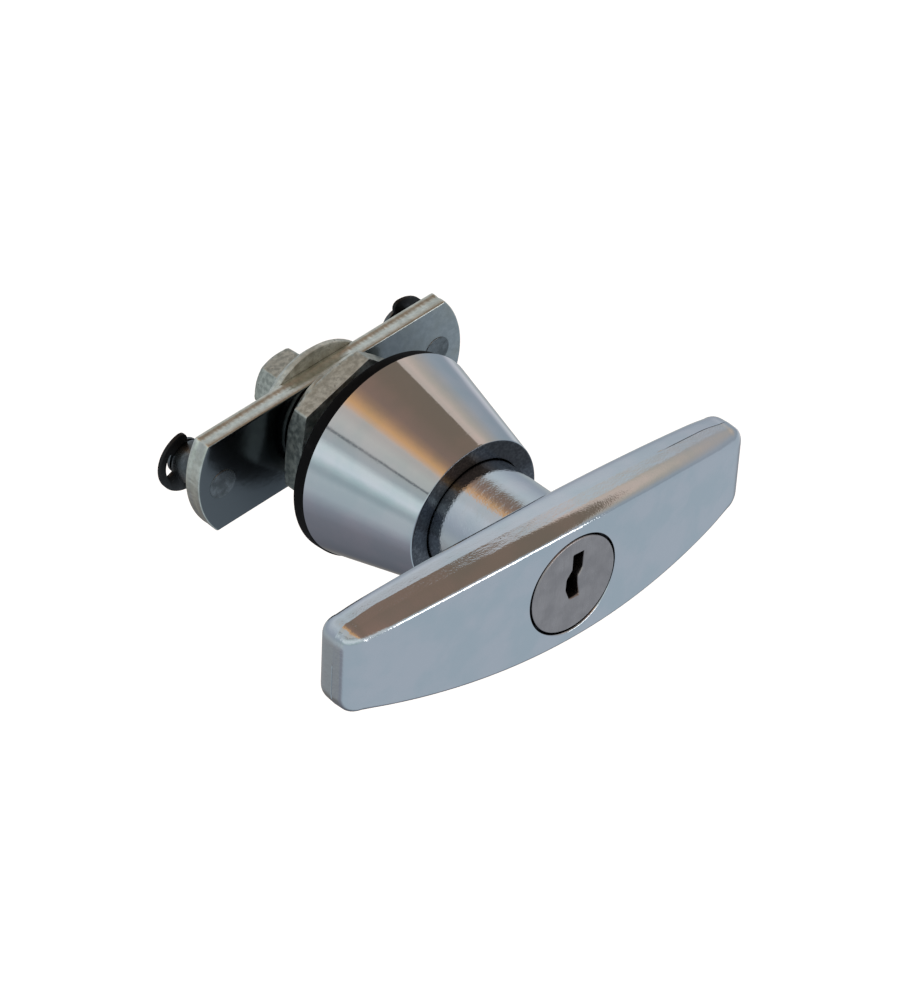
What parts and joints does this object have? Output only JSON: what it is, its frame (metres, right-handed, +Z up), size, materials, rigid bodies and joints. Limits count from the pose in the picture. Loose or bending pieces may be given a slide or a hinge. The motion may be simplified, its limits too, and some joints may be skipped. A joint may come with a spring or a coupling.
{
  "type": "t-handle latch",
  "caption": "Locking T-handle latch: a swept chrome grip with a key plug turns in a conical escutcheon and swings a cam plate with two rod studs behind the door.",
  "frame": {"origin": "on the spindle axis, in the plane where the gasket's rear face meets the door", "axes": "+Y along the spindle from the door's outer face towards the cam plate, the key face looks along -Y, +X along the grip bar at rest, +Z up"},
  "size_m": [0.0926, 0.0769, 0.0406],
  "materials": {
    "chrome": "polished",
    "rubber": "matte",
    "zinc": "satin zinc plate",
    "steel": "satin",
    "black_steel": "black phosphate",
    "nickel": "satin nickel",
    "brass": "satin"
  },
  "bodies": {
    "housing": {"escutcheon": "chrome", "gasket": "rubber", "panel_nut": "zinc", "thrust_washer": "zinc"},
    "handle": {"t_handle": "chrome", "neck_seal": "rubber", "plug_pin": "steel", "cam_plate": "zinc", "stud_left": "steel", "stud_right": "steel", "clip_left": "black_steel", "clip_right": "black_steel", "retaining_disc": "zinc", "spring_washer": "zinc", "plain_washer": "zinc", "hex_bolt": "zinc"},
    "plug": {"key_plug": "nickel", "wafers": "brass", "wafer_springs": "steel", "drive_pin": "steel"},
    "lock_bolt": {"locking_bolt": "zinc"}
  },
  "joints": [
    {"name": "handle_turn", "type": "hinge", "parent": "housing", "child": "handle", "pos_m": [0, 0, 0], "axis": [0, 1, 0], "range_deg": [0, 90]},
    {"name": "key_turn", "type": "hinge", "parent": "handle", "child": "plug", "pos_m": [0, 0, 0], "axis": [0, 1, 0], "range_deg": [0, 90]},
    {"name": "bolt_throw", "type": "slide", "parent": "handle", "child": "lock_bolt", "axis": [0, 0, -1], "range_m": [0, 0.00396]}
  ],
  "couplings": [
    {"joint": "bolt_throw", "follows": "key_turn", "m_per_rad": 0.0025209}
  ]
}
